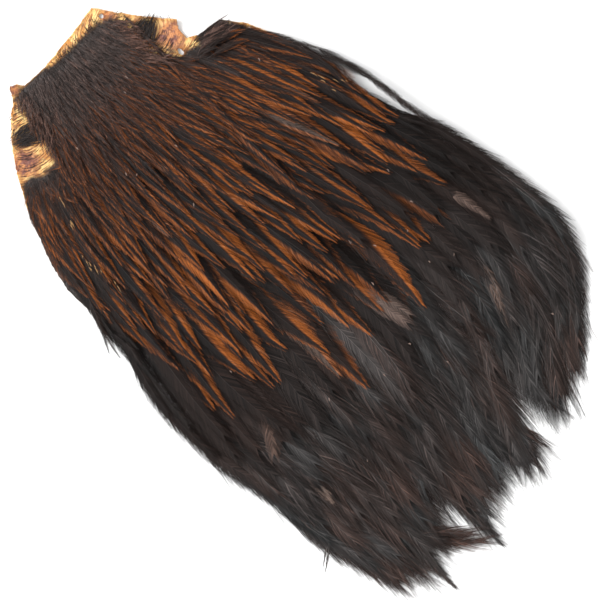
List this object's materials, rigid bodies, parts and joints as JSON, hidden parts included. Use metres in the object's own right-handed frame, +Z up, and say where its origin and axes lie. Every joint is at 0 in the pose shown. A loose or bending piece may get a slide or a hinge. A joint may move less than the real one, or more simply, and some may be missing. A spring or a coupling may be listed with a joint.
{
  "type": "hen neck cape",
  "caption": "Dried hen neck skin lying flat with its plumage: short dark crown feathers, rusty striped neck feathers and long black-brown feathers with ragged tips.",
  "frame": {"origin": "middle of the cape's length and width, on the surface that it lies on", "axes": "+Y towards the head end's cut edge, -Y towards the feather tips, +Z up out of the plumage, +X to the right seen from above with the head end up"},
  "size_m": [0.1177, 0.185, 0.0091],
  "materials": {
    "dried_skin": "dried translucent skin, cream at the cut edge and orange-brown at the ear patches",
    "crown": "short near-black feathers",
    "neck_feather": "black centres with rusty orange edges, slight gloss",
    "back_feather": "black-brown with a blue-grey sheen"
  },
  "bodies": {
    "root": {"skin": "dried_skin", "crown_feathers": "crown", "ear_tuft_left": "crown", "ear_tuft_right": "crown", "neck_feather_row1_1": "neck_feather", "neck_feather_row1_2": "neck_feather", "neck_feather_row1_3": "neck_feather", "neck_feather_row1_4": "neck_feather", "neck_feather_row1_5": "neck_feather", "neck_feather_row2_1": "neck_feather", "neck_feather_row2_2": "neck_feather", "neck_feather_row2_3": "neck_feather", "neck_feather_row2_4": "neck_feather", "neck_feather_row2_5": "neck_feather", "neck_feather_row2_6": "neck_feather", "neck_feather_row3_1": "neck_feather", "neck_feather_row3_2": "neck_feather", "neck_feather_row3_3": "neck_feather", "neck_feather_row3_4": "neck_feather", "neck_feather_row3_5": "neck_feather", "neck_feather_row4_1": "neck_feather", "neck_feather_row4_2": "neck_feather", "neck_feather_row4_3": "neck_feather", "neck_feather_row4_4": "neck_feather", "neck_feather_row4_5": "neck_feather", "neck_feather_row4_6": "neck_feather", "neck_feather_row5_1": "neck_feather", "neck_feather_row5_2": "neck_feather", "neck_feather_row5_3": "neck_feather", "neck_feather_row5_4": "neck_feather", "neck_feather_row5_5": "neck_feather", "neck_feather_row5_6": "neck_feather", "neck_feather_row5_7": "neck_feather", "back_feather_row6_1": "back_feather", "back_feather_row6_2": "back_feather", "back_feather_row6_3": "back_feather", "back_feather_row6_4": "back_feather", "back_feather_row6_5": "back_feather", "back_feather_row6_6": "back_feather", "back_feather_row7_1": "back_feather", "back_feather_row7_2": "back_feather", "back_feather_row7_3": "back_feather", "back_feather_row7_4": "back_feather", "back_feather_row7_5": "back_feather", "back_feather_row7_6": "back_feather", "back_feather_row7_7": "back_feather", "back_feather_row8_1": "back_feather", "back_feather_row8_2": "back_feather", "back_feather_row8_3": "back_feather", "back_feather_row8_4": "back_feather", "back_feather_row8_5": "back_feather", "back_feather_row8_6": "back_feather", "back_feather_row9_1": "back_feather", "back_feather_row9_2": "back_feather", "back_feather_row9_3": "back_feather", "back_feather_row9_4": "back_feather", "back_feather_row9_5": "back_feather", "back_feather_row9_6": "back_feather", "back_feather_row9_7": "back_feather", "back_feather_row9_8": "back_feather"}
  },
  "joints": []
}
